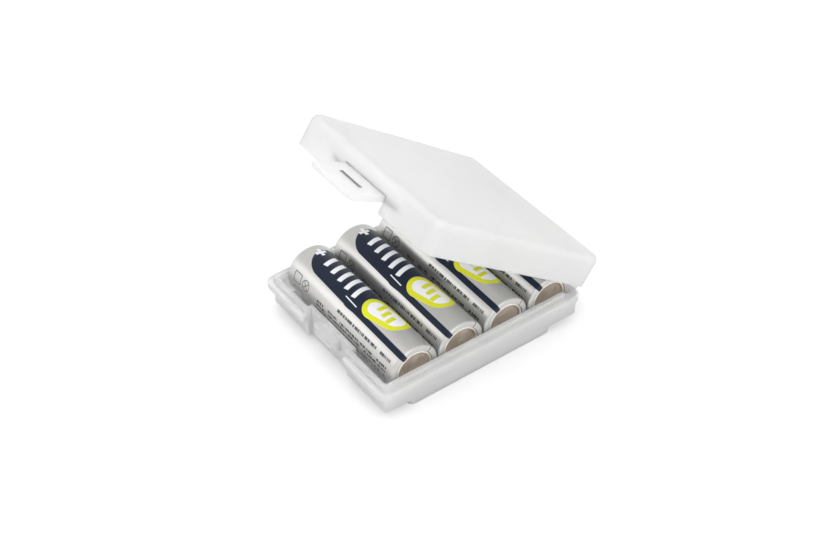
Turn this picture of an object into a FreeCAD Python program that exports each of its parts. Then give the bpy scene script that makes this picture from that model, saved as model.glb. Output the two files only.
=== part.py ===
import FreeCAD, Part
import math
import os

import Sketcher
from FreeCAD import Placement, Rotation, Vector

# A hinged storage case for AA cells, in millimetres and degrees.
# The origin is the middle of the foot's underside: X runs along the cells, the latch is at -Y,
# the hinge is at +Y and Z is up. The lid and its flap are drawn closed and then turned open.

CELL_COUNT = 4

SIZES = {
    "cell_diameter": 14.4,
    "cell_length": 50.4,
    "cell_edge": 0.6,
    "terminal_height": 1.0,
    "terminal_diameter": 5.5,
    "terminal_edge": 0.4,
    "cap_diameter": 11.0,
    "cap_recess": 0.3,
    "collar_recess": 0.25,
    "cell_spacing": 0.3,
    "cell_end_play": 0.4,
    "row_front_play": 2.2,
    "row_rear_play": 0.25,
    "cell_seat_gap": 0.05,
    "wall": 1.2,
    "floor": 1.6,
    "wall_corner": 0.9,
    "inner_corner": 0.8,
    "bottom_edge": 0.6,
    "foot_height": 1.6,
    "foot_depth": 46.6,
    "foot_corner": 1.6,
    "rim_height": 9.5,
    "flange_thickness": 2.0,
    "flange_reach": 1.6,
    "flange_rear_reach": 0.35,
    "flange_edge": 0.4,
    "lip_height": 1.5,
    "lip_rear_stop": 3.1,
    "saddle_width": 1.2,
    "saddle_spacing": 29.0,
    "saddle_height": 3.8,
    "notch_margin": 0.5,
    "notch_recess": 1.4,
    "notch_corner": 1.0,
    "catch_width": 9.4,
    "catch_above_rim": 0.7,
    "catch_height": 4.0,
    "catch_slope": 1.2,
    "catch_gap": 0.2,
    "bead_reach": 0.7,
    "bead_end_gap": 0.35,
    "bead_side_gap": 0.15,
    "lid_gap": 0.15,
    "lid_clearance": 0.4,
    "lid_wall": 1.2,
    "lid_rear_offset": 0.15,
    "lid_height": 9.3,
    "lid_roof": 1.1,
    "lid_edge": 2.1,
    "lid_inner_edge": 1.0,
    "rib_width": 0.8,
    "rib_height": 4.4,
    "lid_angle": 36.5,
    "hinge_offset": 2.85,
    "hinge_drop": 0.35,
    "hinge_spacing": 36.0,
    "knuckle_radius": 1.9,
    "knuckle_width": 6.0,
    "arm_height": 4.2,
    "ear_width": 2.0,
    "ear_gap": 0.25,
    "ear_foot": 4.6,
    "pin_radius": 1.0,
    "pin_fit": 0.05,
    "flap_width": 17.2,
    "flap_length": 11.9,
    "flap_plate": 1.0,
    "flap_depth": 1.5,
    "flap_rib": 1.2,
    "flap_stand": 0.25,
    "flap_side_gap": 0.2,
    "flap_rise": 3.65,
    "flap_axis_depth": 1.0,
    "flap_barrel_radius": 0.9,
    "flap_axle_radius": 0.4,
    "flap_axle_reach": 4.8,
    "flap_corner": 0.8,
    "flap_angle": 81.4,
    "window_gap": 0.2,
    "window_corner": 0.8,
    "boss_wall": 0.75,
    "boss_end": 1.0,
    "slot_length": 8.6,
    "slot_height": 1.1,
    "slot_drop": 1.6,
}


class Size:
    """A length or angle: its value now, and the sheet expression that gives it."""

    def __init__(self, value, text):
        self.value = value
        self.text = text

    def __add__(self, other):
        other = as_size(other)
        return Size(self.value + other.value, f"({self.text} + {other.text})")

    def __sub__(self, other):
        other = as_size(other)
        return Size(self.value - other.value, f"({self.text} - {other.text})")

    def __mul__(self, factor):
        return Size(self.value * factor, f"({self.text} * {factor})")

    def __truediv__(self, divisor):
        return Size(self.value / divisor, f"({self.text} / {divisor})")

    def __neg__(self):
        return Size(-self.value, f"(0 - {self.text})")


def as_size(number):
    if isinstance(number, Size):
        return number
    return Size(float(number), f"({number})")


doc = FreeCAD.newDocument("battery_case")
sheet = doc.addObject("Spreadsheet::Sheet", "Sizes")
for row, (alias, number) in enumerate(SIZES.items(), start=1):
    sheet.set(f"A{row}", alias)
    sheet.set(f"B{row}", str(number))
    sheet.setAlias(f"B{row}", alias)
doc.recompute()


def size(alias):
    return Size(float(sheet.get(alias)), f"Sizes.{alias}")


# Places that the pieces share. Front and rear are along Y, low and high along Z.

wall = size("wall")
rim = size("rim_height")
lip_top = rim + size("lip_height")
floor_under = size("foot_height")
floor_top = floor_under + size("floor")
foot_half = size("foot_depth") / 2

cell_radius = size("cell_diameter") / 2
cell_pitch = size("cell_diameter") + size("cell_spacing")
row_depth = cell_pitch * (CELL_COUNT - 1) + size("cell_diameter")
inner_x = size("cell_length") / 2 + size("cell_end_play")
inner_depth = row_depth + size("row_front_play") + size("row_rear_play")
wall_x = inner_x + wall
flange_x = wall_x + size("flange_reach")

case_depth = inner_depth + wall * 2 + size("flange_reach") + size("flange_rear_reach")
flange_front = -(case_depth / 2)
flange_rear = case_depth / 2
wall_front = flange_front + size("flange_reach")
wall_rear = flange_rear - size("flange_rear_reach")
inner_front = wall_front + wall
inner_rear = wall_rear - wall

cell_z = floor_top + size("cell_seat_gap") + cell_radius
last_cell_y = inner_rear - size("row_rear_play") - cell_radius

lid_inner_x = wall_x + size("lid_clearance")
lid_x = lid_inner_x + size("lid_wall")
lid_inner_front = wall_front - size("lid_clearance")
lid_front = lid_inner_front - size("lid_wall")
lid_rear = flange_rear + size("lid_rear_offset")
lid_inner_rear = lid_rear - size("lid_wall")
lid_low = rim + size("lid_gap")
lid_high = lid_low + size("lid_height")
ceiling = lid_high - size("lid_roof")

hinge_y = lid_rear + size("hinge_offset")
hinge_z = lid_low - size("hinge_drop")
hinge_x = size("hinge_spacing") / 2

flap_half = size("flap_width") / 2
flap_front = lid_front - size("flap_stand")
flap_plate_rear = flap_front + size("flap_plate")
flap_rear = flap_front + size("flap_depth")
flap_y = flap_front + size("flap_axis_depth")
flap_z = lid_low + size("flap_rise")
flap_low = flap_z - size("flap_length")
window_half = flap_half + size("flap_side_gap")
window_high = flap_z + size("flap_axis_depth") + size("window_gap")

notch_half = window_half + size("notch_margin")
notch_face = wall_front + size("notch_recess")
slot_z = rim - size("slot_drop")
catch_face = flap_plate_rear + size("catch_gap")


def cell_y(index):
    return last_cell_y - cell_pitch * (CELL_COUNT - 1 - index)


def origin_plane(body, role):
    return next(plane for plane in body.Origin.OriginFeatures if plane.Role == role)


def start_body(label):
    body = doc.addObject("PartDesign::Body", label)
    body.Label = label
    return body


def start_sketch(body, name, role, level):
    """A sketch on an origin plane moved to a level: Z for XY_Plane, X for YZ_Plane."""
    level = as_size(level)
    sketch = body.newObject("Sketcher::SketchObject", name)
    sketch.AttachmentSupport = (origin_plane(body, role), [""])
    sketch.MapMode = "FlatFace"
    sketch.AttachmentOffset = Placement(Vector(0, 0, level.value), Rotation())
    sketch.setExpression("AttachmentOffset.Base.z", level.text)
    return sketch


def place_point(sketch, geometry, point, across, up):
    for kind, target in (("DistanceX", across), ("DistanceY", up)):
        index = sketch.addConstraint(Sketcher.Constraint(kind, -1, 1, geometry, point, target.value))
        sketch.setExpression(f"Constraints[{index}]", target.text)


def polygon(sketch, corners):
    """A closed outline whose every corner is bound to the sheet."""
    corners = [(as_size(across), as_size(up)) for across, up in corners]
    places = [Vector(across.value, up.value, 0) for across, up in corners]
    lines = [
        sketch.addGeometry(Part.LineSegment(start, end))
        for start, end in zip(places, places[1:] + places[:1])
    ]
    for line, following in zip(lines, lines[1:] + lines[:1]):
        sketch.addConstraint(Sketcher.Constraint("Coincident", line, 2, following, 1))
    for line, (across, up) in zip(lines, corners):
        place_point(sketch, line, 1, across, up)
    return sketch


def rectangle(sketch, left, right, low, high):
    return polygon(sketch, [(left, low), (right, low), (right, high), (left, high)])


def rounded_rectangle(sketch, half_across, half_up, corner):
    """A rectangle about the origin whose corners are arcs of one radius."""
    flat_across = half_across - corner
    flat_up = half_up - corner
    sides = [
        ((flat_across, half_up), (-flat_across, half_up)),
        ((-half_across, flat_up), (-half_across, -flat_up)),
        ((-flat_across, -half_up), (flat_across, -half_up)),
        ((half_across, -flat_up), (half_across, flat_up)),
    ]
    centres = [
        (-flat_across, flat_up),
        (-flat_across, -flat_up),
        (flat_across, -flat_up),
        (flat_across, flat_up),
    ]
    lines = []
    for ends in sides:
        start, end = (Vector(across.value, up.value, 0) for across, up in ends)
        line = sketch.addGeometry(Part.LineSegment(start, end))
        lines.append(line)
        for point, (across, up) in enumerate(ends, start=1):
            place_point(sketch, line, point, across, up)
    quarter = math.pi / 2
    for turn, (across, up) in enumerate(centres, start=1):
        centre = Vector(across.value, up.value, 0)
        ring = Part.Circle(centre, Vector(0, 0, 1), corner.value)
        arc = sketch.addGeometry(Part.ArcOfCircle(ring, turn * quarter, (turn + 1) * quarter))
        sketch.addConstraint(Sketcher.Constraint("Coincident", lines[turn - 1], 2, arc, 1))
        sketch.addConstraint(Sketcher.Constraint("Coincident", arc, 2, lines[turn % 4], 1))
        index = sketch.addConstraint(Sketcher.Constraint("Radius", arc, corner.value))
        sketch.setExpression(f"Constraints[{index}]", corner.text)
    return sketch


def circle(sketch, across, up, radius):
    centre = Vector(across.value, up.value, 0)
    ring = sketch.addGeometry(Part.Circle(centre, Vector(0, 0, 1), radius.value))
    place_point(sketch, ring, 3, across, up)
    index = sketch.addConstraint(Sketcher.Constraint("Radius", ring, radius.value))
    sketch.setExpression(f"Constraints[{index}]", radius.text)
    return sketch


def extrude(kind, sketch, length, reverse=False):
    """A Pad goes along the plane's normal, +Z or +X, and a Pocket against it."""
    body = sketch.getParentGeoFeatureGroup()
    feature = body.newObject(f"PartDesign::{kind}", f"{sketch.Name}_{kind}")
    feature.Profile = sketch
    feature.Length = length.value
    feature.setExpression("Length", length.text)
    feature.Reversed = reverse
    sketch.Visibility = False
    return feature


def pad(sketch, length):
    return extrude("Pad", sketch, length)


def pocket(sketch, length, reverse=False):
    return extrude("Pocket", sketch, length, reverse)


def mirror(body, features):
    """Repeats features on the other side of the case's middle plane."""
    copy = body.newObject("PartDesign::Mirrored", f"{features[0].Name}_Mirrored")
    copy.Originals = features
    copy.MirrorPlane = (origin_plane(body, "YZ_Plane"), [""])
    body.Tip = copy
    return copy


def round_edges(body, name, radius, chosen):
    """Rounds the edges of the body's shape so far that the test picks."""
    doc.recompute()
    base = body.Tip
    names = [f"Edge{n}" for n, edge in enumerate(base.Shape.Edges, start=1) if chosen(edge)]
    fillet = body.newObject("PartDesign::Fillet", name)
    fillet.Base = (base, names)
    fillet.Radius = radius.value
    fillet.setExpression("Radius", radius.text)
    return fillet


NEAR = 0.01


def near(number, target):
    return abs(number - target.value) < NEAR


def is_upright(edge):
    box = edge.BoundBox
    return box.XLength < NEAR and box.YLength < NEAR


def spans(edge, low, high):
    return near(edge.BoundBox.ZMin, low) and near(edge.BoundBox.ZMax, high)


def lies_at(edge, level):
    return spans(edge, level, level)


def near_side(edge, half_x):
    return near(abs(edge.CenterOfMass.x), half_x)


def make_tray():
    body = start_body("tray")
    add_tray_shell(body)
    add_rim(body)
    hollow_tray(body)
    add_saddles(body)
    add_notch(body)
    add_catch(body)
    add_ears(body)
    return body


def add_tray_shell(body):
    """The walls, still solid, rounded below, and the foot that the case stands on."""
    bottom_edge = size("bottom_edge")
    shell = start_sketch(body, "shell", "XY_Plane", floor_under)
    pad(rectangle(shell, -wall_x, wall_x, wall_front, wall_rear), rim - floor_under)
    round_edges(body, "shell_corners", size("wall_corner"), is_upright)
    round_edges(body, "shell_bottom", bottom_edge, lambda edge: lies_at(edge, floor_under))

    foot = start_sketch(body, "foot", "XY_Plane", 0)
    rounded_rectangle(foot, wall_x, foot_half, size("foot_corner"))
    pad(foot, floor_under + bottom_edge)


def add_rim(body):
    """The flange that the lid meets, and the lip that rises inside the lid."""
    flange_low = rim - size("flange_thickness")
    flange = start_sketch(body, "flange", "XY_Plane", flange_low)
    pad(rectangle(flange, -flange_x, flange_x, flange_front, flange_rear), size("flange_thickness"))
    round_edges(
        body,
        "flange_corners",
        size("wall_corner") + size("flange_reach"),
        lambda edge: is_upright(edge) and near_side(edge, flange_x),
    )
    round_edges(
        body,
        "flange_edge",
        size("flange_edge"),
        lambda edge: lies_at(edge, rim) and not is_upright(edge),
    )

    lip = start_sketch(body, "lip", "XY_Plane", rim)
    lip_rear = inner_rear - size("lip_rear_stop")
    pad(rectangle(lip, -wall_x, wall_x, wall_front, lip_rear), size("lip_height"))
    round_edges(
        body,
        "lip_corners",
        size("wall_corner"),
        lambda edge: is_upright(edge) and spans(edge, rim, lip_top) and edge.CenterOfMass.y < 0,
    )


def hollow_tray(body):
    """The space for the cells, with the floor stepped down into the foot."""
    cavity = start_sketch(body, "cavity", "XY_Plane", lip_top)
    pocket(rectangle(cavity, -inner_x, inner_x, inner_front, inner_rear), lip_top - floor_top)
    round_edges(
        body,
        "cavity_corners",
        size("inner_corner"),
        lambda edge: is_upright(edge) and near(edge.BoundBox.ZMin, floor_top) and near_side(edge, inner_x),
    )
    well_half = foot_half - wall
    well = start_sketch(body, "floor_well", "XY_Plane", floor_top)
    pocket(rectangle(well, -inner_x, inner_x, -well_half, well_half), floor_under)


def add_saddles(body):
    """Two ribs across the floor well, cut round to carry the cells."""
    saddle_x = size("saddle_spacing") / 2
    half_width = size("saddle_width") / 2
    reach = foot_half - wall / 2
    saddle = start_sketch(body, "saddle", "XY_Plane", size("floor"))
    rectangle(saddle, saddle_x - half_width, saddle_x + half_width, -reach, reach)
    mirror(body, [pad(saddle, size("saddle_height"))])
    seat_end = saddle_x + size("saddle_width")
    seats = start_sketch(body, "cell_seats", "YZ_Plane", seat_end)
    for index in range(CELL_COUNT):
        circle(seats, cell_y(index), cell_z, cell_radius + size("cell_seat_gap") / 2)
    pocket(seats, seat_end * 2)


def add_notch(body):
    """The front wall steps in behind the latch, and the flange stops on either side of it."""
    inner_half = notch_half + wall
    inner_face = notch_face + wall
    step = start_sketch(body, "notch_wall", "XY_Plane", floor_under)
    pad(rectangle(step, -inner_half, inner_half, inner_front - wall / 2, inner_face), lip_top - floor_under)
    notch = start_sketch(body, "notch", "XY_Plane", lip_top)
    rectangle(notch, -notch_half, notch_half, flange_front - wall, notch_face)
    pocket(notch, lip_top)
    round_edges(
        body,
        "notch_corners",
        size("notch_corner"),
        lambda edge: is_upright(edge)
        and near_side(edge, notch_half)
        and near(edge.CenterOfMass.y, flange_front),
    )


def add_catch(body):
    """The nose that the closed flap lies on, and the bead that snaps into the flap's slot."""
    root = notch_face + wall / 2
    high = rim + size("catch_above_rim")
    low = high - size("catch_height")
    catch = start_sketch(body, "catch", "YZ_Plane", -(size("catch_width") / 2))
    polygon(
        catch,
        [
            (root, high),
            (catch_face, high),
            (catch_face, low + size("catch_slope")),
            (notch_face, low),
            (root, low),
        ],
    )
    pad(catch, size("catch_width"))

    bead_length = size("slot_length") - size("bead_end_gap") * 2
    half_height = size("slot_height") / 2 - size("bead_side_gap")
    nose = catch_face - size("bead_reach")
    bead = start_sketch(body, "catch_bead", "YZ_Plane", -(bead_length / 2))
    polygon(
        bead,
        [
            (catch_face + size("bead_reach"), slot_z + half_height),
            (catch_face, slot_z + half_height),
            (nose, slot_z + half_height / 2),
            (nose, slot_z - half_height / 2),
            (catch_face, slot_z - half_height),
            (catch_face + size("bead_reach"), slot_z - half_height),
        ],
    )
    pad(bead, bead_length)


def add_ears(body):
    """Two pairs of ears on the rear wall, bored for the lid's stub pins."""
    knuckle = size("knuckle_radius")
    bore = size("pin_radius") + size("pin_fit")
    inner_gap = size("knuckle_width") / 2 + size("ear_gap")
    root = wall_rear - wall / 2
    starts = {
        "inner": hinge_x - inner_gap - size("ear_width"),
        "outer": hinge_x + inner_gap,
    }
    features = []
    for side, start in starts.items():
        web = start_sketch(body, f"ear_web_{side}", "YZ_Plane", start)
        polygon(
            web,
            [
                (root, hinge_z - size("ear_foot")),
                (wall_rear, hinge_z - size("ear_foot")),
                (hinge_y + knuckle * 0.6, hinge_z - knuckle * 0.8),
                (hinge_y, hinge_z),
                (root, hinge_z),
            ],
        )
        features.append(pad(web, size("ear_width")))
        eye = start_sketch(body, f"ear_eye_{side}", "YZ_Plane", start)
        features.append(pad(circle(eye, hinge_y, hinge_z, knuckle), size("ear_width")))
        hole = start_sketch(body, f"ear_bore_{side}", "YZ_Plane", start + size("ear_width"))
        features.append(pocket(circle(hole, hinge_y, hinge_z, bore), size("ear_width")))
    mirror(body, features)


def make_lid():
    body = start_body("lid")
    add_lid_shell(body)
    add_lid_ribs(body)
    add_flap_window(body)
    add_hinge_arms(body)
    turn_open(body, lid_turn())
    return body


def add_lid_shell(body):
    inner_radius = size("wall_corner") + size("lid_clearance")
    shell = start_sketch(body, "lid_shell", "XY_Plane", lid_low)
    pad(rectangle(shell, -lid_x, lid_x, lid_front, lid_rear), size("lid_height"))
    round_edges(body, "lid_corners", inner_radius + size("lid_wall"), is_upright)
    round_edges(body, "lid_edge", size("lid_edge"), lambda edge: lies_at(edge, lid_high))

    cavity = start_sketch(body, "lid_cavity", "XY_Plane", lid_low)
    rectangle(cavity, -lid_inner_x, lid_inner_x, lid_inner_front, lid_inner_rear)
    pocket(cavity, ceiling - lid_low, reverse=True)
    round_edges(
        body,
        "lid_inner_corners",
        inner_radius,
        lambda edge: is_upright(edge) and spans(edge, lid_low, ceiling),
    )
    round_edges(body, "lid_inner_edge", size("lid_inner_edge"), lambda edge: lies_at(edge, ceiling))


def add_lid_ribs(body):
    """Two ribs under the roof that stand in the valleys between the cells."""
    reach = lid_inner_x + size("lid_wall") / 2
    half_width = size("rib_width") / 2
    for side, cell in (("front", 0), ("rear", CELL_COUNT - 2)):
        middle = (cell_y(cell) + cell_y(cell + 1)) / 2
        rib = start_sketch(body, f"lid_rib_{side}", "XY_Plane", ceiling - size("rib_height"))
        rectangle(rib, -reach, reach, middle - half_width, middle + half_width)
        pad(rib, size("rib_height") + size("lid_roof") / 2)


def add_flap_window(body):
    """The opening for the flap, between two bosses that hold the flap's axle."""
    bore = size("flap_axle_radius") + size("pin_fit")
    half = bore + size("boss_wall")
    bore_reach = size("flap_axle_reach") + size("flap_side_gap")
    boss_rear = flap_y + half
    chamfer = half / 2
    boss = start_sketch(body, "axle_boss", "YZ_Plane", window_half)
    polygon(
        boss,
        [
            (lid_front + size("lid_wall") / 2, flap_z - half),
            (boss_rear - chamfer, flap_z - half),
            (boss_rear, flap_z - chamfer),
            (boss_rear, flap_z + chamfer),
            (boss_rear - chamfer, flap_z + half),
            (lid_front + size("lid_wall") / 2, flap_z + half),
        ],
    )
    mirror(body, [pad(boss, bore_reach + size("boss_end"))])

    window = start_sketch(body, "flap_window", "XY_Plane", window_high)
    rectangle(window, -window_half, window_half, lid_front - wall, boss_rear + wall)
    pocket(window, window_high - lid_low + wall)
    round_edges(
        body,
        "window_corners",
        size("window_corner"),
        lambda edge: lies_at(edge, lid_low) and near_side(edge, window_half),
    )

    hole = start_sketch(body, "axle_bore", "YZ_Plane", window_half + bore_reach)
    pocket(circle(hole, flap_y, flap_z, bore), (window_half + bore_reach) * 2)


def add_hinge_arms(body):
    """Two arms from the rear wall to knuckles whose stub pins turn in the tray's ears."""
    knuckle = size("knuckle_radius")
    width = size("knuckle_width")
    start = hinge_x - width / 2
    root = lid_rear - size("lid_wall") / 2
    arm_high = lid_low + size("arm_height")
    arm = start_sketch(body, "hinge_arm", "YZ_Plane", start)
    polygon(
        arm,
        [
            (root, lid_low),
            (hinge_y, hinge_z),
            (hinge_y + knuckle * 0.8, hinge_z + knuckle * 0.6),
            (lid_rear, arm_high),
            (root, arm_high),
        ],
    )
    arm_pad = pad(arm, width)
    barrel = start_sketch(body, "hinge_knuckle", "YZ_Plane", start)
    barrel_pad = pad(circle(barrel, hinge_y, hinge_z, knuckle), width)
    pin_reach = size("ear_gap") + size("ear_width")
    pin = start_sketch(body, "hinge_pin", "YZ_Plane", start - pin_reach)
    pin_pad = pad(circle(pin, hinge_y, hinge_z, size("pin_radius")), width + pin_reach * 2)
    mirror(body, [arm_pad, barrel_pad, pin_pad])


def make_flap():
    """The latch: a slotted plate with side ribs and a toe, on a barrel with an axle."""
    body = start_body("latch_flap")
    rib = size("flap_rib")
    corner = size("flap_corner")
    barrel_radius = size("flap_barrel_radius")
    middle = (flap_front + flap_plate_rear) / 2
    toe_rear = (flap_plate_rear + flap_rear) / 2

    plate = start_sketch(body, "flap_plate", "YZ_Plane", -flap_half)
    polygon(
        plate,
        [
            (flap_front, flap_low),
            (flap_plate_rear, flap_low),
            (flap_plate_rear, flap_z),
            (flap_y - barrel_radius * 0.8, flap_z + barrel_radius * 0.6),
            (flap_front, flap_z - size("flap_axis_depth") * 0.6),
        ],
    )
    pad(plate, size("flap_width"))
    round_edges(
        body,
        "flap_corners",
        corner,
        lambda edge: near_side(edge, flap_half) and lies_at(edge, flap_low),
    )
    barrel = start_sketch(body, "flap_barrel", "YZ_Plane", -flap_half)
    pad(circle(barrel, flap_y, flap_z, barrel_radius), size("flap_width"))

    side = start_sketch(body, "flap_side", "YZ_Plane", flap_half - rib)
    polygon(
        side,
        [
            (middle, flap_low + corner),
            (toe_rear, flap_low + corner),
            (flap_rear, flap_low + corner + rib),
            (flap_rear, flap_z),
            (middle, flap_z),
        ],
    )
    mirror(body, [pad(side, rib)])
    toe = start_sketch(body, "flap_toe", "XY_Plane", flap_low)
    toe_half = flap_half - corner
    pad(rectangle(toe, -toe_half, toe_half, middle, toe_rear), corner + rib)

    slot = start_sketch(body, "slot", "XY_Plane", slot_z + size("slot_height") / 2)
    half_slot = size("slot_length") / 2
    rectangle(slot, -half_slot, half_slot, flap_front - wall, flap_plate_rear + wall)
    pocket(slot, size("slot_height"))

    axle_half = flap_half + size("flap_axle_reach")
    axle = start_sketch(body, "flap_axle", "YZ_Plane", -axle_half)
    pad(circle(axle, flap_y, flap_z, size("flap_axle_radius")), axle_half * 2)
    turn_open(body, lid_turn(), turn_text(flap_y, flap_z, size("flap_angle")))
    return body


def make_cell(index):
    """One sealed cell, turned about its own axis, with its raised terminal at -X."""
    name = f"battery_{index + 1}"
    body = start_body(name)
    half_length = size("cell_length") / 2
    shoulder = size("terminal_height") - half_length
    collar = shoulder + size("collar_recess")
    cap_face = half_length - size("cap_recess")
    terminal_radius = size("terminal_diameter") / 2
    cap_radius = size("cap_diameter") / 2
    edge = size("cell_edge")
    terminal_edge = size("terminal_edge")
    sketch = start_sketch(body, f"{name}_profile", "XY_Plane", 0)
    polygon(
        sketch,
        [
            (-half_length, 0),
            (-half_length, terminal_radius - terminal_edge),
            (terminal_edge - half_length, terminal_radius),
            (collar, terminal_radius),
            (collar, cap_radius),
            (shoulder, cap_radius),
            (shoulder, cell_radius - edge),
            (shoulder + edge, cell_radius),
            (half_length - edge, cell_radius),
            (half_length, cell_radius - edge),
            (half_length, cap_radius),
            (cap_face, cap_radius),
            (cap_face, 0),
        ],
    )
    turn = body.newObject("PartDesign::Revolution", f"{name}_turn")
    turn.Profile = sketch
    turn.ReferenceAxis = (sketch, ["H_Axis"])
    turn.Angle = 360.0
    sketch.Visibility = False
    body.Placement = Placement(Vector(0, cell_y(index).value, cell_z.value), Rotation())
    body.setExpression("Placement.Base.y", cell_y(index).text)
    body.setExpression("Placement.Base.z", cell_z.text)
    return body


def turn_text(y, z, angle):
    """The expression for an opening turn about the line along X through y and z."""
    turn = f"rotation(vector(1; 0; 0); (0 - {angle.text}) * 1 deg)"
    return f"placement(vector(0; 0; 0); {turn}; vector(0; {y.text} * 1 mm; {z.text} * 1 mm))"


def lid_turn():
    return turn_text(hinge_y, hinge_z, size("lid_angle"))


def turn_open(body, *turns):
    """Turns a piece that is drawn closed to where it rests, by the product of its turns."""
    body.setExpression("Placement", " * ".join(turns))


def export(bodies):
    doc.recompute()
    faults = [item.Label for item in doc.Objects if {"Invalid", "Error"} & set(item.State)]
    for body in bodies:
        shape = body.Shape
        if shape.isNull() or not shape.isValid() or len(shape.Solids) != 1:
            faults.append(body.Label)
    if faults:
        raise RuntimeError("not built: " + ", ".join(faults))
    os.makedirs("parts", exist_ok=True)
    for body in bodies:
        body.Shape.exportStep(f"parts/{body.Label}.step")


pieces = [make_tray(), make_lid(), make_flap()]
pieces += [make_cell(index) for index in range(CELL_COUNT)]
export(pieces)
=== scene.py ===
import math

import bmesh
import bpy
from mathutils import Matrix, Vector


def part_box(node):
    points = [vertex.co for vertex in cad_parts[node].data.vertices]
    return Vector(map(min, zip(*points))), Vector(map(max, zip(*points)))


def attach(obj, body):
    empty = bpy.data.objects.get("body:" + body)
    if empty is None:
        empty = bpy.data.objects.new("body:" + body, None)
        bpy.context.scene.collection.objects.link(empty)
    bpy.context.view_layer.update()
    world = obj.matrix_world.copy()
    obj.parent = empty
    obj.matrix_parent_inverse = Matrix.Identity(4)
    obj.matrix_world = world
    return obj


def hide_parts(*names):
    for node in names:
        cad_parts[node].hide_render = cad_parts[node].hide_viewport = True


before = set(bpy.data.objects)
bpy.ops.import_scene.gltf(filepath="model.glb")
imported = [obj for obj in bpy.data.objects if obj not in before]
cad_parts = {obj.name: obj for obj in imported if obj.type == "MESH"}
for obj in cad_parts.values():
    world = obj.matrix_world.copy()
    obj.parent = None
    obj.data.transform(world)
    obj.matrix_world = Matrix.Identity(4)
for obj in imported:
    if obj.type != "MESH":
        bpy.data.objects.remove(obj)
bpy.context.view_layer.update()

MM = 0.001

# The cells, in metres. Their lengths run along X, with the raised terminal at -X.
CELL_RADIUS = 7.2 * MM
CELL_HALF = 25.2 * MM
TERMINAL_HEIGHT = 1.0 * MM
TERMINAL_RADIUS = 2.75 * MM
TERMINAL_EDGE = 0.4 * MM
SLEEVE_EDGE = 0.6 * MM
SLEEVE_OPENING = 5.5 * MM
WASHER_RECESS = 0.25 * MM
CAN_RECESS = 0.3 * MM
CAN_GROOVE = 0.12 * MM
CAN_EDGE_WIDTH = 0.55 * MM
CAN_EDGE_RISE = 0.16 * MM
CAN_FLOOR_DEPTH = 0.6 * MM
CELL_SIDES = 96
EDGE_STEPS = 5
SHARP_ANGLE = math.radians(50)

# How far each cell is rolled in its place, in millimetres round its sleeve.
CELL_ROLLS = (0.0, 0.5, -0.4, 0.2)

# The flattened sleeve is the cells' UV map, in millimetres divided by the sheet's size. It runs
# along the cell from the terminal's tip, and round it from the top, which is half way up the sheet.
SHEET_SIZE = 100.0
SHEET_TOP_LINE = 0.5

# The case, in metres, as it is when closed. The lid and the flap open about lines along X.
LID_HALF = 28.4 * MM
LID_FRONT = -32.65 * MM
LID_REAR = 32.8 * MM
LID_HIGH = 18.95 * MM
LID_ROUNDING = 2.1 * MM
LID_HINGE = Vector((0.0, 35.65, 9.3)) * MM
LID_ANGLE = math.radians(36.5)
RIB_PLACES = (-13.1 * MM, 16.3 * MM)
RIB_LOW = 13.45 * MM
FLANGE_LOW = 7.5 * MM
FLAP_AXIS = Vector((0.0, -31.9, 13.3)) * MM
FLAP_ANGLE = math.radians(81.4)
BOSS_START = 13.6 * MM
BOSS_END = 19.6 * MM
BOSS_REAR = -30.7 * MM
BOSS_HALF = 1.2 * MM
SLOT_HEIGHT = 7.9 * MM
SLOT_HALF_LENGTH = 4.3 * MM
SLOT_HALF_WIDTH = 0.55 * MM

# Painted light on the lid, in metres: a paler colour as a painted glow along its ribs and on its bosses,
# where the plastic is thicker, and as a painted highlight along its rounded edges. A rib's line comes in
# between these distances from its middle, and a rounded edge between these distances past the start
# of its rounding. The rest fades over these widths at its ends, and the bosses show at this strength.
RIB_LINE = (0.75 * MM, 0.2 * MM)
ROUNDED_EDGE = (0.4 * LID_ROUNDING, 0.7 * LID_ROUNDING)
RIB_FOOT_FADE = 0.15 * MM
BOSS_START_FADE = 0.5 * MM
BOSS_END_FADE = 0.4 * MM
BOSS_REAR_FADE = 0.4 * MM
BOSS_SIDE_FADE = 0.8 * MM
BOSS_STRENGTH = 0.6
# The tray's flange and lip are painted paler, as painted light, above a line that fades over this width.
FLANGE_FADE = 0.3 * MM

# The shade of the slot's walls reaches this far past its size, so that it covers them, in metres.
SLOT_MARGIN = 0.04 * MM

# Colours, as linear light.
WHITE = (1.0, 1.0, 1.0)
THIN_PLASTIC = (0.965, 0.967, 0.97)
CLOUDY_PLASTIC = (0.945, 0.948, 0.953)
# The paler colour of painted light on the lid and tray: glow where the plastic is thicker, highlight on
# edges.
PAINTED_LIGHT_PLASTIC = (0.995, 0.995, 0.995)
# The dark of the painted shade on the walls of the flap's slot.
SHADED_PLASTIC = (0.3, 0.3, 0.31)
SILVER_FILM = (0.53, 0.525, 0.51)
NAVY_INK = (0.008, 0.014, 0.033)
WHITE_INK = (0.86, 0.87, 0.9)
LIME_INK = (0.72, 0.73, 0.02)
PRINT_INK = (0.07, 0.075, 0.07)
TERMINAL_STEEL = (0.55, 0.54, 0.52)
TERMINAL_STAIN = (0.4, 0.38, 0.35)
WASHER_BLACK = (0.12, 0.12, 0.12)
WASHER_STAIN = (0.08, 0.08, 0.08)
# The groove's dark is painted shade in the gap between the sleeve and the can, with darker stains in it.
GROOVE_PAINTED_SHADE = (0.06, 0.045, 0.035)
GROOVE_SHADE_STAIN = (0.03, 0.022, 0.018)
CAN_EDGE_STEEL = (0.95, 0.9, 0.84)
CAN_EDGE_STAIN = (0.86, 0.8, 0.73)
CAN_FLOOR_STEEL = (0.62, 0.54, 0.45)
CAN_FLOOR_STAIN = (0.45, 0.38, 0.31)
FLOOR_COLOUR = (0.82, 0.82, 0.82)

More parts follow.
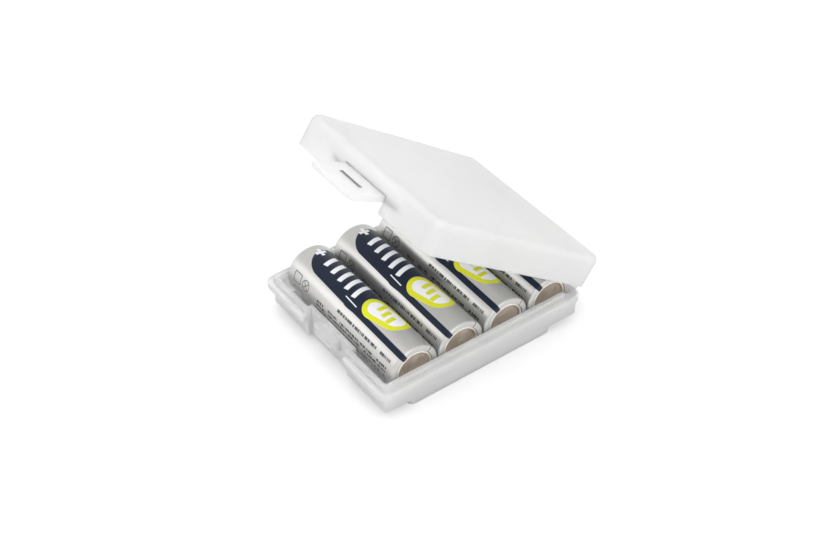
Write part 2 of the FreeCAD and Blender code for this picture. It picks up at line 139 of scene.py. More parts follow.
# The frosted plastic, sizes in metres. The glow is the share of light that spreads within it, and
# how far. The clearness is the share that passes through.
PLASTIC_IOR = 1.4
PLASTIC_GLOW = 0.9
PLASTIC_GLOW_DEPTH = 2.5 * MM
CLOUD_SIZE = 9.0 * MM
CLOUD_LEVELS = (0.35, 0.7)
GRAIN_SIZE = 0.22 * MM
GRAIN_RELIEF = 0.02 * MM
GRAIN_STRENGTH = 0.12
GRAIN_ROUGHNESS = 0.12
FROST_POLISH = 0.3
TRAY_CLEARNESS = 0.54
LID_CLEARNESS = 0.47
FLAP_CLEARNESS = 0.3

# The cells' plated metal. Scuffs and stains are so many to the metre.
SCUFF_SCALE = 1400.0
SCUFF_ROUGHNESS = 0.16
STAIN_SCALE = 260.0
STAIN_LEVELS = (0.4, 0.75)
TERMINAL_POLISH = 0.22
WASHER_POLISH = 0.5
GROOVE_POLISH = 0.5
CAN_EDGE_POLISH = 0.25
CAN_FLOOR_POLISH = 0.22

# The cells' printed film: a silver that shines where it has no ink on it.
FILM_IOR = 1.28
FILM_METALLIC = 0.75
FILM_POLISH = 0.28
FILM_ROUGHNESS = 0.06
FILM_SCALE = 900.0
FILM_RELIEF = 0.02 * MM
FILM_STRENGTH = 0.06

# The print, in millimetres on the flattened sleeve: places along the cell and round it, half sizes,
# and turns in degrees.
INK_EDGE = 0.06
BANNER_JOIN = 1.2
PLUS_PLACE = (4.8, -1.7)
PLUS_ARM = (1.6, 0.5)
BAR_COUNT = 5
FIRST_BAR = 9.6
BAR_PITCH = 3.6
BAR_LINE = -1.9
BAR_HALF_WIDTH = 0.75
BAR_HALF_HEIGHT = 2.5
BAR_GROWTH = 0.28
BAR_SLANT = 16.0
CAPSULE_PLACE = (35.6, -1.9)
CAPSULE_HALF = (7.3, 4.3)
CAPSULE_SLANT = 12.0
CAPSULE_BARS = ((32.9, -2.4), (35.5, -1.9), (38.1, -1.4))
CAPSULE_BAR_HALF = (0.7, 1.7)
RING_HALF_WIDTH = 0.75
FINE_LINE = 0.12
CROSSED_RING = (9.6, 8.6)

# Small print: letters and words are where a noise along the row passes these levels, and each row
# starts a step further on in it. A row's ink ends between these shares of the rows' pitch.
LETTER_SCALE = 2.0
LETTER_LEVELS = (0.4, 0.46)
WORD_SCALE = 0.31
WORD_LEVELS = (0.31, 0.33)
ROW_STEP = 5.37
ROW_ENDS = (0.36, 0.3)

# The stage, in metres. The backdrop also lights the object, and the lift brightens the floor to the
# eye alone.
BACKDROP_LEVEL = 1.0
FLOOR_LIFT = 0.14
FLOOR_HALF = 3.0
CASE_MIDDLE = Vector((0.0, 0.0, 15.0)) * MM

# Where the photograph was taken from: angles in degrees, distances in metres, and the lens and the
# sensor's width in millimetres.
VIEW_AZIMUTH = 55.3134
VIEW_HEIGHT = 41.6088
VIEW_ROLL = -1.553
VIEW_TARGET = Vector((-5.10, 0.535, 9.70)) * MM
VIEW_DISTANCE = 410.1 * MM
VIEW_LENS = 65.55
VIEW_SENSOR = 36.0
VIEW_NEAREST = 0.01
VIEW_FARTHEST = 20.0


class Nodes:
    """Adds nodes to one tree, each fed with sockets or plain values."""

    def __init__(self, tree):
        self.tree = tree

    def add(self, kind, values=None, **settings):
        """A new node with these settings, its sockets fed by name."""
        node = self.tree.nodes.new(kind)
        for name, setting in settings.items():
            setattr(node, name, setting)
        for name, value in (values or {}).items():
            self.feed(node.inputs[name], value)
        return node

    def feed(self, socket, value):
        """Links another socket to this one, or sets a plain number, colour or vector on it."""
        if isinstance(value, bpy.types.NodeSocket):
            self.tree.links.new(value, socket)
        elif socket.type == "RGBA":
            socket.default_value = (*value[:3], 1.0)
        else:
            socket.default_value = value

    def math(self, operation, *values):
        """The result of an operation on numbers."""
        node = self.add("ShaderNodeMath", operation=operation)
        for socket, value in zip(node.inputs, values):
            self.feed(socket, value)
        return node.outputs[0]

    def vectors(self, operation, *values):
        """The result of an operation on vectors."""
        node = self.add("ShaderNodeVectorMath", operation=operation)
        for socket, value in zip(node.inputs, values):
            self.feed(socket, value)
        return node.outputs["Value" if operation == "LENGTH" else "Vector"]

    def away(self, value, middle):
        """How far the value is from the middle, to either side."""
        return self.math("ABSOLUTE", self.math("SUBTRACT", value, middle))

    def spread(self, value, start, end, low=0.0, high=1.0):
        """The value from start to end, spread from low to high and held there."""
        values = {"Value": value, "From Min": start, "From Max": end, "To Min": low, "To Max": high}
        return self.add("ShaderNodeMapRange", values).outputs["Result"]

    def blend(self, mask, under, over):
        """One colour over another where the mask is one."""
        node = self.add("ShaderNodeMix", data_type="RGBA")
        self.feed(node.inputs["Factor"], mask)
        colours = [socket for socket in node.inputs if socket.type == "RGBA"]
        self.feed(colours[0], under)
        self.feed(colours[1], over)
        return next(socket for socket in node.outputs if socket.type == "RGBA")

    def noise(self, place, scale, detail):
        """A noise in space."""
        values = {"Vector": place, "Scale": scale, "Detail": detail}
        return self.add("ShaderNodeTexNoise", values).outputs[0]

    def noise_along(self, distance, scale, detail):
        """A noise along one distance."""
        values = {"W": distance, "Scale": scale, "Detail": detail}
        return self.add("ShaderNodeTexNoise", values, noise_dimensions="1D").outputs[0]

    def object_place(self):
        """Where a point of the surface is in the object's own coordinates, in metres."""
        return self.add("ShaderNodeTexCoord").outputs["Object"]

    def parts(self, vector):
        """The X, Y and Z of a vector."""
        return self.add("ShaderNodeSeparateXYZ", {"Vector": vector}).outputs

    def group(self, tree, values):
        """The outputs of a node group placed with its own values."""
        node = self.add("ShaderNodeGroup", node_tree=tree)
        for name, value in values.items():
            self.feed(node.inputs[name], value)
        return node.outputs


def new_group(name, inputs, outputs):
    """An empty node group with its sockets, its nodes, and its two ends."""
    tree = bpy.data.node_groups.new(name, "ShaderNodeTree")
    for in_out, sockets in (("INPUT", inputs), ("OUTPUT", outputs)):
        for socket, kind in sockets.items():
            tree.interface.new_socket(name=socket, in_out=in_out, socket_type=f"NodeSocket{kind}")
    nodes = Nodes(tree)
    start = nodes.add("NodeGroupInput").outputs
    end = nodes.add("NodeGroupOutput").inputs
    return tree, nodes, start, end


def new_material(name, settings):
    """A material with one Principled shader, its plain settings, and its nodes."""
    material = bpy.data.materials.new(name)
    material.use_nodes = True
    nodes = Nodes(material.node_tree)
    shader = material.node_tree.nodes["Principled BSDF"]
    for socket, value in settings.items():
        nodes.feed(shader.inputs[socket], value)
    return material, nodes, shader


# Shared effects

def make_label_shape():
    """The distance to a rounded, turned rectangle on the flattened sleeve, less than zero inside."""
    inputs = {
        "Place": "Vector",
        "Middle": "Vector",
        "Half Size": "Vector",
        "Turn": "Float",
        "Corner": "Float",
    }
    tree, nodes, start, end = new_group("label_shape", inputs, {"Distance": "Float"})
    offset = nodes.vectors("SUBTRACT", start["Place"], start["Middle"])
    turn = {"Vector": offset, "Angle": start["Turn"]}
    turned = nodes.add("ShaderNodeVectorRotate", turn, rotation_type="Z_AXIS").outputs[0]
    corner = nodes.add("ShaderNodeCombineXYZ", {"X": start["Corner"], "Y": start["Corner"]}).outputs[0]
    core = nodes.vectors("SUBTRACT", start["Half Size"], corner)
    beyond = nodes.vectors("SUBTRACT", nodes.vectors("ABSOLUTE", turned), core)
    outside = nodes.vectors("LENGTH", nodes.vectors("MAXIMUM", beyond, (0.0, 0.0, 0.0)))
    sides = nodes.parts(beyond)
    inside = nodes.math("MINIMUM", nodes.math("MAXIMUM", sides["X"], sides["Y"]), 0.0)
    distance = nodes.math("SUBTRACT", nodes.math("ADD", outside, inside), start["Corner"])
    nodes.feed(end["Distance"], distance)
    return tree


def make_small_print(label_shape):
    """Rows of short dashes within a rectangle, which stand for lines of small print."""
    inputs = {
        "Place": "Vector",
        "Middle": "Vector",
        "Half Size": "Vector",
        "Row Pitch": "Float",
        "Seed": "Float",
    }
    tree, nodes, start, end = new_group("small_print", inputs, {"Mask": "Float"})
    at = nodes.parts(start["Place"])
    rows = nodes.math("DIVIDE", at["Y"], start["Row Pitch"])
    row_start = nodes.math("MULTIPLY_ADD", nodes.math("FLOOR", rows), ROW_STEP, start["Seed"])
    along = nodes.math("ADD", at["X"], row_start)
    in_letter = nodes.spread(nodes.noise_along(along, LETTER_SCALE, detail=1.0), *LETTER_LEVELS)
    in_word = nodes.spread(nodes.noise_along(along, WORD_SCALE, detail=0.0), *WORD_LEVELS)
    in_row = nodes.spread(nodes.away(nodes.math("FRACT", rows), 0.5), *ROW_ENDS)
    rectangle = {
        "Place": start["Place"],
        "Middle": start["Middle"],
        "Half Size": start["Half Size"],
        "Turn": 0.0,
        "Corner": 0.1,
    }
    area = nodes.group(label_shape, rectangle)
    in_area = nodes.math("LESS_THAN", area["Distance"], 0.0)
    ink = nodes.math("MULTIPLY", nodes.math("MULTIPLY", in_letter, in_word), in_row)
    nodes.feed(end["Mask"], nodes.math("MULTIPLY", ink, in_area))
    return tree


def make_frost_grain():
    """The frosted moulding: faint clouds in the colour and a fine grain in the surface."""
    inputs = {
        "Pale": "Color",
        "Cloudy": "Color",
        "Cloud Size": "Float",
        "Grain Size": "Float",
        "Polish": "Float",
    }
    outputs = {"Colour": "Color", "Roughness": "Float", "Height": "Float"}
    tree, nodes, start, end = new_group("frost_grain", inputs, outputs)
    place = nodes.object_place()
    clouds = nodes.noise(place, nodes.math("DIVIDE", 1.0, start["Cloud Size"]), detail=3.0)
    grain = nodes.noise(place, nodes.math("DIVIDE", 1.0, start["Grain Size"]), detail=2.0)
    cloudy = nodes.spread(clouds, *CLOUD_LEVELS)
    nodes.feed(end["Colour"], nodes.blend(cloudy, start["Pale"], start["Cloudy"]))
    nodes.feed(end["Roughness"], nodes.math("MULTIPLY_ADD", grain, GRAIN_ROUGHNESS, start["Polish"]))
    nodes.feed(end["Height"], grain)
    return tree


def make_metal_wear():
    """Faint stains in the colour of plated steel, and fine scuffs in its shine."""
    inputs = {"Colour": "Color", "Stain": "Color", "Polish": "Float"}
    outputs = {"Colour": "Color", "Roughness": "Float"}
    tree, nodes, start, end = new_group("metal_wear", inputs, outputs)
    place = nodes.object_place()
    scuffs = nodes.noise(place, SCUFF_SCALE, detail=4.0)
    stained = nodes.spread(nodes.noise(place, STAIN_SCALE, detail=2.0), *STAIN_LEVELS)
    nodes.feed(end["Colour"], nodes.blend(stained, start["Colour"], start["Stain"]))
    nodes.feed(end["Roughness"], nodes.math("MULTIPLY_ADD", scuffs, SCUFF_ROUGHNESS, start["Polish"]))
    return tree


def turned_shut(nodes, place, axis, angle):
    """A place on an opened piece, turned back about its axis to where it is when shut."""
    shift = axis - Matrix.Rotation(angle, 3, "X") @ axis
    values = {"Vector": place, "Location": shift, "Rotation": (angle, 0.0, 0.0)}
    return nodes.add("ShaderNodeMapping", values).outputs[0]


def rib_lines(nodes, at):
    """The two ribs inside the lid, down to their feet."""
    lines = 0.0
    for rib in RIB_PLACES:
        line = nodes.spread(nodes.away(at["Y"], rib), *RIB_LINE)
        lines = nodes.math("MAXIMUM", line, lines)
    above_foot = nodes.spread(at["Z"], RIB_LOW - RIB_FOOT_FADE, RIB_LOW + RIB_FOOT_FADE)
    return nodes.math("MULTIPLY", lines, above_foot)


def boss_patches(nodes, at):
    """The two bosses in the lid's front wall that carry the flap's axle."""
    along = nodes.math("ABSOLUTE", at["X"])
    up = nodes.away(at["Z"], FLAP_AXIS.z)
    past_start = nodes.spread(along, BOSS_START - BOSS_START_FADE, BOSS_START, 0.0, BOSS_STRENGTH)
    before_end = nodes.spread(along, BOSS_END + BOSS_END_FADE, BOSS_END)
    beside_axle = nodes.spread(up, BOSS_HALF + BOSS_SIDE_FADE, BOSS_HALF)
    in_wall = nodes.spread(at["Y"], BOSS_REAR + BOSS_REAR_FADE, BOSS_REAR)
    patches = nodes.math("MULTIPLY", past_start, before_end)
    patches = nodes.math("MULTIPLY", patches, beside_axle)
    return nodes.math("MULTIPLY", patches, in_wall)


def moulded_edges(nodes, at):
    """The lid's rounded edges, where two of its outer faces meet."""
    middle = (LID_FRONT + LID_REAR) / 2
    half_depth = (LID_REAR - LID_FRONT) / 2
    past_side = nodes.math("SUBTRACT", nodes.math("ABSOLUTE", at["X"]), LID_HALF - LID_ROUNDING)
    past_front = nodes.math("SUBTRACT", nodes.away(at["Y"], middle), half_depth - LID_ROUNDING)
    past_roof = nodes.math("SUBTRACT", at["Z"], LID_HIGH - LID_ROUNDING)
    upright = nodes.math("MINIMUM", past_side, past_front)
    crosswise = nodes.math("MINIMUM", past_front, past_roof)
    lengthwise = nodes.math("MINIMUM", past_side, past_roof)
    past_two = nodes.math("MAXIMUM", nodes.math("MAXIMUM", upright, crosswise), lengthwise)
    return nodes.spread(past_two, *ROUNDED_EDGE)


def make_lid_painted_light():
    """Painted light: a glow where the lid holds more plastic (two ribs, two bosses), a highlight on its
    moulded edges.
    """
    tree, nodes, _, end = new_group("lid_painted_light", {}, {"Mask": "Float"})
    at = nodes.parts(turned_shut(nodes, nodes.object_place(), LID_HINGE, LID_ANGLE))
    ribs = rib_lines(nodes, at)
    bosses = boss_patches(nodes, at)
    edges = moulded_edges(nodes, at)
    nodes.feed(end["Mask"], nodes.math("MAXIMUM", ribs, nodes.math("MAXIMUM", bosses, edges)))
    return tree


def make_tray_painted_light():
    """Painted light on the tray: paler where it holds more plastic, its flange and the lip above it."""
    tree, nodes, _, end = new_group("tray_painted_light", {}, {"Mask": "Float"})
    height = nodes.parts(nodes.object_place())["Z"]
    nodes.feed(end["Mask"], nodes.spread(height, FLANGE_LOW - FLANGE_FADE, FLANGE_LOW + FLANGE_FADE))
    return tree


def make_slot_painted_shade():
    """The cut walls of the flap's slot, painted dark as the shade in the slot."""
    tree, nodes, _, end = new_group("slot_painted_shade", {}, {"Mask": "Float"})
    on_lid = turned_shut(nodes, nodes.object_place(), LID_HINGE, LID_ANGLE)
    at = nodes.parts(turned_shut(nodes, on_lid, FLAP_AXIS, FLAP_ANGLE))
    along = nodes.math("ABSOLUTE", at["X"])
    up = nodes.away(at["Z"], SLOT_HEIGHT)
    within_length = nodes.math("LESS_THAN", along, SLOT_HALF_LENGTH + SLOT_MARGIN)
    within_width = nodes.math("LESS_THAN", up, SLOT_HALF_WIDTH + SLOT_MARGIN)
    nodes.feed(end["Mask"], nodes.math("MULTIPLY", within_length, within_width))
    return tree


LABEL_SHAPE = make_label_shape()
SMALL_PRINT = make_small_print(LABEL_SHAPE)
FROST_GRAIN = make_frost_grain()
METAL_WEAR = make_metal_wear()
LID_PAINTED_LIGHT = make_lid_painted_light()
TRAY_PAINTED_LIGHT = make_tray_painted_light()
SLOT_PAINTED_SHADE = make_slot_painted_shade()


# Finishes

def frosted_plastic(name, clearness, painted_light_mask, painted_light_colour):
    """Milky, satin polypropylene that blurs what is behind it, another colour where light or shade is
    painted on.
    """
    settings = {
        "IOR": PLASTIC_IOR,
        "Transmission Weight": clearness,
        "Subsurface Weight": PLASTIC_GLOW,
        "Subsurface Radius": (1.0, 1.0, 1.0),
        "Subsurface Scale": PLASTIC_GLOW_DEPTH,
    }
    frost = {
        "Pale": THIN_PLASTIC,
        "Cloudy": CLOUDY_PLASTIC,
        "Cloud Size": CLOUD_SIZE,
        "Grain Size": GRAIN_SIZE,
        "Polish": FROST_POLISH,
    }
    material, nodes, shader = new_material(name, settings)
    grain = nodes.group(FROST_GRAIN, frost)
    relief = {"Height": grain["Height"], "Strength": GRAIN_STRENGTH, "Distance": GRAIN_RELIEF}
    bump = nodes.add("ShaderNodeBump", relief)
    # The painted light or shade is laid over the plastic's own colour where its mask is one.
    colour = nodes.blend(nodes.group(painted_light_mask, {})["Mask"], grain["Colour"], painted_light_colour)
    nodes.feed(shader.inputs["Base Color"], colour)
    nodes.feed(shader.inputs["Roughness"], grain["Roughness"])
    nodes.feed(shader.inputs["Normal"], bump.outputs[0])
    return material


def worn_metal(name, colour, stain, polish):
    """Plated steel, or a dark ring beside it, with faint stains and scuffs."""
    material, nodes, shader = new_material(name, {"Metallic": 1.0})
    wear = nodes.group(METAL_WEAR, {"Colour": colour, "Stain": stain, "Polish": polish})
    nodes.feed(shader.inputs["Base Color"], wear["Colour"])
    nodes.feed(shader.inputs["Roughness"], wear["Roughness"])
    return material


class SleevePrint:
    """Lays inks on the flattened sleeve, one shape over another, sizes in millimetres."""

    def __init__(self, nodes):
        self.nodes = nodes
        sheet = nodes.add("ShaderNodeUVMap", uv_map="sleeve").outputs[0]
        scaled = nodes.vectors("MULTIPLY", sheet, (SHEET_SIZE, SHEET_SIZE, 0.0))
        self.place = nodes.vectors("SUBTRACT", scaled, (0.0, SHEET_TOP_LINE * SHEET_SIZE, 0.0))
        self.colour = SILVER_FILM
        self.inked = 0.0

    def shape(self, place, half_size, turn=0.0, corner=0.2):
        """The distance to a rounded rectangle with its middle at this place."""
        values = {
            "Place": self.place,
            "Middle": (*place, 0.0),
            "Half Size": (*half_size, 0.0),
            "Turn": math.radians(turn),
            "Corner": corner,
        }
        return self.nodes.group(LABEL_SHAPE, values)["Distance"]

    def fill(self, distance, colour):
        """Inks the inside of a shape."""
        self.ink(self.nodes.spread(distance, INK_EDGE, -INK_EDGE), colour)

    def outline(self, distance, half_width, colour):
        """Inks a line along the edge of a shape."""
        self.fill(self.nodes.math("SUBTRACT", self.nodes.math("ABSOLUTE", distance), half_width), colour)

    def rows(self, place, half_size, pitch, seed):
        """Inks rows of small print within a rectangle."""
        values = {
            "Place": self.place,
            "Middle": (*place, 0.0),
            "Half Size": (*half_size, 0.0),
            "Row Pitch": pitch,
            "Seed": seed,
        }
        self.ink(self.nodes.group(SMALL_PRINT, values)["Mask"], PRINT_INK)

    def ink(self, mask, colour):
        """Lays an ink over all that is printed so far."""
        self.colour = self.nodes.blend(mask, self.colour, colour)
        self.inked = self.nodes.math("MAXIMUM", mask, self.inked)


def print_small_marks(label):
    """Small print in rows on both sides of the banner, and three plain marks near the terminal."""
    label.rows(place=(36.0, 6.95), half_size=(12.0, 0.55), pitch=1.26, seed=3.0)
    label.rows(place=(31.5, 9.9), half_size=(16.0, 1.09), pitch=1.1, seed=23.0)
    label.rows(place=(30.0, 13.2), half_size=(17.0, 1.9), pitch=1.15, seed=41.0)
    label.rows(place=(26.0, -13.5), half_size=(20.0, 2.6), pitch=1.05, seed=77.0)
    square = label.shape(place=(5.6, 8.4), half_size=(1.5, 1.5))
    ring = label.shape(CROSSED_RING, half_size=(1.5, 1.5), corner=1.5)
    plate = label.shape(place=(6.4, 12.4), half_size=(2.2, 1.0))
    for mark in (square, ring, plate):
        label.outline(mark, FINE_LINE, PRINT_INK)
    for turn in (45.0, -45.0):
        stroke = label.shape(CROSSED_RING, half_size=(1.3, FINE_LINE), turn=turn, corner=0.1)
        label.fill(stroke, PRINT_INK)


def print_banner(label):
    """The navy field with its plus sign and slanted bars, and the stripe to the flat end."""
    field = label.shape(place=(18.4, -2.7), half_size=(14.4, 7.0), turn=-1.5, corner=6.9)
    stripe = label.shape(place=(40.2, 3.75), half_size=(15.2, 0.85), turn=-0.6, corner=0.3)
    label.fill(label.nodes.math("SMOOTH_MIN", field, stripe, BANNER_JOIN), NAVY_INK)
    for arm in (PLUS_ARM, PLUS_ARM[::-1]):
        label.fill(label.shape(PLUS_PLACE, arm, corner=0.1), WHITE_INK)
    for number in range(BAR_COUNT):
        place = (FIRST_BAR + BAR_PITCH * number, BAR_LINE)
        half_size = (BAR_HALF_WIDTH, BAR_HALF_HEIGHT + BAR_GROWTH * number)
        label.fill(label.shape(place, half_size, turn=BAR_SLANT), WHITE_INK)
    dash = label.shape(place=(25.8, 2.7), half_size=(2.6, 0.14), turn=-2.5, corner=0.1)
    label.fill(dash, WHITE_INK)


def print_capsule(label):
    """The lime ring round a white field with three lime bars in it."""
    capsule = label.shape(CAPSULE_PLACE, CAPSULE_HALF, turn=CAPSULE_SLANT, corner=4.2)
    label.fill(capsule, WHITE_INK)
    ring = label.nodes.math("ADD", capsule, RING_HALF_WIDTH)
    label.outline(ring, RING_HALF_WIDTH, LIME_INK)
    for place in CAPSULE_BARS:
        bar = label.shape(place, CAPSULE_BAR_HALF, turn=CAPSULE_SLANT, corner=0.3)
        label.fill(bar, LIME_INK)


def print_seam(label):
    """The short dark end of the sleeve's seam, where it folds over the flat end."""
    label.fill(label.shape(place=(51.2, -6.0), half_size=(1.3, 0.16), corner=0.05), PRINT_INK)


def printed_sleeve():
    """A satin silver film with its print, which takes the metal's shine away."""
    material, nodes, shader = new_material("printed_sleeve", {"IOR": FILM_IOR})
    label = SleevePrint(nodes)
    print_small_marks(label)
    print_banner(label)
    print_capsule(label)
    print_seam(label)
    film = nodes.noise(nodes.object_place(), FILM_SCALE, detail=3.0)
    relief = {"Height": film, "Strength": FILM_STRENGTH, "Distance": FILM_RELIEF}
    bump = nodes.add("ShaderNodeBump", relief)
    nodes.feed(shader.inputs["Base Color"], label.colour)
    nodes.feed(shader.inputs["Metallic"], nodes.spread(label.inked, 0.0, 1.0, FILM_METALLIC, 0.0))
    nodes.feed(shader.inputs["Roughness"], nodes.math("MULTIPLY_ADD", film, FILM_ROUGHNESS, FILM_POLISH))
    nodes.feed(shader.inputs["Normal"], bump.outputs[0])
    return material


# The cells

def quarter_round(middle_x, middle_r, radius, from_angle, to_angle):
    """Points of a rounded edge in the cell's profile, angles in degrees from +X."""
    points = []
    for step in range(EDGE_STEPS + 1):
        angle = math.radians(from_angle + (to_angle - from_angle) * step / EDGE_STEPS)
        points.append((middle_x + radius * math.cos(angle), middle_r + radius * math.sin(angle)))
    return points


def terminal_run():
    """The raised terminal, from its middle to the washer round its foot."""
    tip = -CELL_HALF
    washer = tip + TERMINAL_HEIGHT + WASHER_RECESS
    run = [(tip, 0.0)]
    run += quarter_round(tip + TERMINAL_EDGE, TERMINAL_RADIUS - TERMINAL_EDGE, TERMINAL_EDGE, 180, 90)
    run.append((washer, TERMINAL_RADIUS))
    return run


def sleeve_run(groove):
    """The sleeve, from the washer over the cell's side to the groove in its flat end."""
    shoulder = -CELL_HALF + TERMINAL_HEIGHT
    run = [(shoulder + WASHER_RECESS, SLEEVE_OPENING), (shoulder, SLEEVE_OPENING)]
    run += quarter_round(shoulder + SLEEVE_EDGE, CELL_RADIUS - SLEEVE_EDGE, SLEEVE_EDGE, 180, 90)
    run += quarter_round(CELL_HALF - SLEEVE_EDGE, CELL_RADIUS - SLEEVE_EDGE, SLEEVE_EDGE, 90, 0)
    run += [(CELL_HALF, SLEEVE_OPENING), (groove, SLEEVE_OPENING)]
    return run


def can_runs(can, groove):
    """The can's rolled edge and its sunk floor, from the groove to the middle of the flat end."""
    outer = SLEEVE_OPENING - CAN_GROOVE
    middle = outer - CAN_EDGE_WIDTH / 2
    inner = outer - CAN_EDGE_WIDTH
    crest = can + CAN_EDGE_RISE
    sunk = can - CAN_FLOOR_DEPTH
    edge = [
        (groove, outer),
        (can, outer),
        (crest, middle + CAN_EDGE_WIDTH / 4),
        (crest, middle - CAN_EDGE_WIDTH / 4),
        (can, inner),
    ]
    floor = [
        edge[-1],
        (can - CAN_FLOOR_DEPTH / 2, inner - CAN_FLOOR_DEPTH / 8),
        (sunk + CAN_FLOOR_DEPTH / 8, inner - CAN_FLOOR_DEPTH / 2),
        (sunk, inner - CAN_FLOOR_DEPTH),
        (sunk, 0.0),
    ]
    return edge, floor


def cell_profile():
    """Runs of (x, radius) from the raised terminal's middle to the flat end's, with their finish."""
    can = CELL_HALF - CAN_RECESS
    groove = can - CAN_GROOVE * 2
    terminal = terminal_run()
    sleeve = sleeve_run(groove)
    can_edge, can_floor = can_runs(can, groove)
    return [
        ("terminal_plate", terminal),
        ("washer", [terminal[-1], sleeve[0]]),
        ("sleeve", sleeve),
        ("groove", [sleeve[-1], can_edge[0]]),
        ("can_edge", can_edge),
        ("can_floor", can_floor),
    ]


def sheet_lengths(points):
    """How far along the flattened sleeve each profile point lies, in metres from the tip's level."""
    lengths = [0.0]
    for (x0, r0), (x1, r1) in zip(points, points[1:]):
        lengths.append(lengths[-1] + math.hypot(x1 - x0, r1 - r0))
    widest = next(level for level, (_, r) in enumerate(points) if math.isclose(r, CELL_RADIUS))
    shift = points[widest][0] + CELL_HALF - lengths[widest]
    return [length + shift for length in lengths]


def sheet_place(length, side):
    """Where a corner lies on the flattened sleeve, by its length along and its side round the cell."""
    around = 2 * math.pi * CELL_RADIUS * side / CELL_SIDES
    return Vector((length / MM / SHEET_SIZE, around / MM / SHEET_SIZE + SHEET_TOP_LINE))


def ring_of_corners(shape, x, r):
    """A ring of vertices about X, from the top. On the axis it is one vertex, used by every side."""
    if r == 0.0:
        return [shape.verts.new((x, 0.0, 0.0))] * CELL_SIDES
    turns = [2 * math.pi * side / CELL_SIDES for side in range(CELL_SIDES)]
    return [shape.verts.new((x, -r * math.sin(turn), r * math.cos(turn))) for turn in turns]


def add_face(shape, sheet, corners, slot):
    """One smooth face from its corners, each a vertex and its place on the sheet."""
    distinct = [corner for n, corner in enumerate(corners) if corner[0] is not corners[n - 1][0]]
    face = shape.faces.new([vertex for vertex, _ in distinct])
    face.material_index = slot
    face.smooth = True
    for loop, (_, place) in zip(face.loops, distinct):
        loop[sheet].uv = place


def turned_mesh(name, runs, finishes):
    """A closed form turned about X, with the flattened sleeve as its UV map."""
    points = [runs[0][1][0]]
    slots = []
    for slot, (_, run) in enumerate(runs):
        points += run[1:]
        slots += [slot] * (len(run) - 1)
    lengths = sheet_lengths(points)
    shape = bmesh.new()
    sheet = shape.loops.layers.uv.new("sleeve")
    rings = [ring_of_corners(shape, x, r) for x, r in points]
    for level, slot in enumerate(slots):
        for side in range(CELL_SIDES):
            after = (side + 1) % CELL_SIDES
            turned = side - CELL_SIDES if side >= CELL_SIDES / 2 else side
            corners = [
                (rings[level][side], sheet_place(lengths[level], turned)),
                (rings[level + 1][side], sheet_place(lengths[level + 1], turned)),
                (rings[level + 1][after], sheet_place(lengths[level + 1], turned + 1)),
                (rings[level][after], sheet_place(lengths[level], turned + 1)),
            ]
            add_face(shape, sheet, corners, slot)
    bmesh.ops.recalc_face_normals(shape, faces=shape.faces)
    mesh = bpy.data.meshes.new(name)
    shape.to_mesh(mesh)
    shape.free()
    for finish in finishes:
        mesh.materials.append(finish)
    mesh.set_sharp_from_angle(angle=SHARP_ANGLE)
    return mesh


def make_cell_finishes():
    """The finish of each run of the cells' profile."""
    return {
        "terminal_plate": worn_metal("plated_terminal", TERMINAL_STEEL, TERMINAL_STAIN, TERMINAL_POLISH),
        "washer": worn_metal("insulating_washer", WASHER_BLACK, WASHER_STAIN, WASHER_POLISH),
        "sleeve": printed_sleeve(),
        # The groove's dark finish is painted shade.
        "groove": worn_metal("can_groove_painted_shade", GROOVE_PAINTED_SHADE, GROOVE_SHADE_STAIN, GROOVE_POLISH),
        "can_edge": worn_metal("rolled_can_edge", CAN_EDGE_STEEL, CAN_EDGE_STAIN, CAN_EDGE_POLISH),
        "can_floor": worn_metal("can_bottom", CAN_FLOOR_STEEL, CAN_FLOOR_STAIN, CAN_FLOOR_POLISH),
    }


def make_cells(finishes):
    """The four cells, each in the place of its solid."""
    runs = cell_profile()
    for number, roll in enumerate(CELL_ROLLS, start=1):
        node = f"battery_{number}"
        low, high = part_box(node)
        mesh = turned_mesh(f"cell_{number}", runs, [finishes[run_name] for run_name, _ in runs])
        turn = Matrix.Rotation(roll * MM / CELL_RADIUS, 4, "X")
        mesh.transform(Matrix.Translation((low + high) / 2) @ turn)
        cell = bpy.data.objects.new(f"cell_{number}", mesh)
        bpy.context.scene.collection.objects.link(cell)
        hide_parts(node)
        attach(cell, "base")


# The case

def finish_node(name, material):
    """Gives a solid of the frame its finish."""
    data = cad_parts[name].data
    data.materials.clear()
    data.materials.append(material)


def make_case():
    """Finishes the tray, the lid and the flap, whose solids have the full shape already."""
    # The tray carries painted light on its flange and lip.
    tray = frosted_plastic("frosted_tray", TRAY_CLEARNESS, TRAY_PAINTED_LIGHT, PAINTED_LIGHT_PLASTIC)
    # The lid carries painted light: a glow on its ribs and bosses, a highlight on its rounded edges.
    lid = frosted_plastic("frosted_lid", LID_CLEARNESS, LID_PAINTED_LIGHT, PAINTED_LIGHT_PLASTIC)
    # The flap carries painted shade on its slot's walls.
    flap = frosted_plastic("frosted_flap", FLAP_CLEARNESS, SLOT_PAINTED_SHADE, SHADED_PLASTIC)
    finish_node("tray", tray)
    finish_node("lid", lid)
    finish_node("latch_flap", flap)


# The stage

def seen_directly(nodes):
    """One for camera, mirror and see-through rays, zero for the rays that light the object."""
    rays = nodes.add("ShaderNodeLightPath").outputs
    direct = nodes.math("MAXIMUM", rays["Is Camera Ray"], rays["Is Glossy Ray"])
    return nodes.math("MAXIMUM", direct, rays["Is Transmission Ray"])


def make_world():
    """A white backdrop all round."""
    world = bpy.data.worlds.new("studio")
    bpy.context.scene.world = world
    world.use_nodes = True
    nodes = Nodes(world.node_tree)
    backdrop = world.node_tree.nodes["Background"]
    nodes.feed(backdrop.inputs["Color"], WHITE)
    nodes.feed(backdrop.inputs["Strength"], BACKDROP_LEVEL)


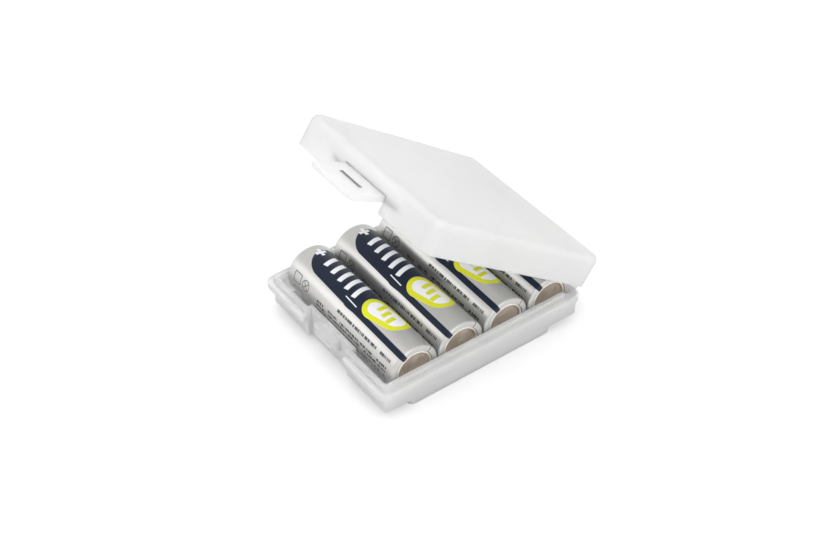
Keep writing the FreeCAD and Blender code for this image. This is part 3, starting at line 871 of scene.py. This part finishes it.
def make_floor():
    """A wide matt floor, lifted to white for the eye so that only the shadow shows."""
    corners = [(x * FLOOR_HALF, y * FLOOR_HALF, 0.0) for x, y in ((-1, -1), (1, -1), (1, 1), (-1, 1))]
    mesh = bpy.data.meshes.new("floor")
    mesh.from_pydata(corners, [], [(0, 1, 2, 3)])
    settings = {
        "Base Color": FLOOR_COLOUR,
        "Roughness": 1.0,
        "Specular IOR Level": 0.0,
        "Emission Color": WHITE,
    }
    material, nodes, shader = new_material("floor", settings)
    lift = nodes.math("MULTIPLY", seen_directly(nodes), FLOOR_LIFT)
    nodes.feed(shader.inputs["Emission Strength"], lift)
    mesh.materials.append(material)
    floor = bpy.data.objects.new("floor", mesh)
    bpy.context.scene.collection.objects.link(floor)


def soft_light(name, toward, distance, size, power):
    """A soft box that faces the case, its width and height in metres and its power in watts."""
    data = bpy.data.lights.new(name, "AREA")
    data.shape = "RECTANGLE"
    data.size = size[0]
    data.size_y = size[1]
    data.energy = power
    light = bpy.data.objects.new(name, data)
    away = Vector(toward).normalized()
    light.location = CASE_MIDDLE + away * distance
    light.rotation_mode = "QUATERNION"
    light.rotation_quaternion = away.to_track_quat("Z", "Y")
    bpy.context.scene.collection.objects.link(light)


def make_lights():
    """A soft box on the left draws the cells' bright bands. One on the right and one above fill in."""
    soft_light("soft_box_left", toward=(-0.61, -0.7, 0.34), distance=0.9, size=(0.42, 0.44), power=0.74)
    soft_light("soft_box_right", toward=(0.95, -0.1, 0.45), distance=1.0, size=(0.9, 0.7), power=2.9)
    soft_light("soft_box_above", toward=(-0.1, 0.1, 1.0), distance=0.9, size=(0.8, 0.8), power=1.9)


def make_camera():
    """The camera at the photograph's place, angle and roll."""
    azimuth = math.radians(VIEW_AZIMUTH)
    height = math.radians(VIEW_HEIGHT)
    roll = math.radians(VIEW_ROLL)
    back_x = math.sin(azimuth) * math.cos(height)
    back_y = -math.cos(azimuth) * math.cos(height)
    back = Vector((back_x, back_y, math.sin(height)))
    level_right = (-back).cross(Vector((0.0, 0.0, 1.0))).normalized()
    level_up = level_right.cross(-back)
    right = level_right * math.cos(roll) + level_up * math.sin(roll)
    up = level_up * math.cos(roll) - level_right * math.sin(roll)
    data = bpy.data.cameras.new("camera")
    data.lens = VIEW_LENS
    data.sensor_width = VIEW_SENSOR
    data.clip_start = VIEW_NEAREST
    data.clip_end = VIEW_FARTHEST
    camera = bpy.data.objects.new("camera", data)
    turn = Matrix((right, up, back)).transposed().to_4x4()
    camera.matrix_world = Matrix.Translation(VIEW_TARGET + back * VIEW_DISTANCE) @ turn
    bpy.context.scene.collection.objects.link(camera)
    bpy.context.scene.camera = camera


def make_stage():
    """The backdrop, the floor, the lights and the camera."""
    make_world()
    make_floor()
    make_lights()
    make_camera()
    bpy.context.scene.view_settings.view_transform = "Standard"


make_case()
make_cells(make_cell_finishes())
make_stage()
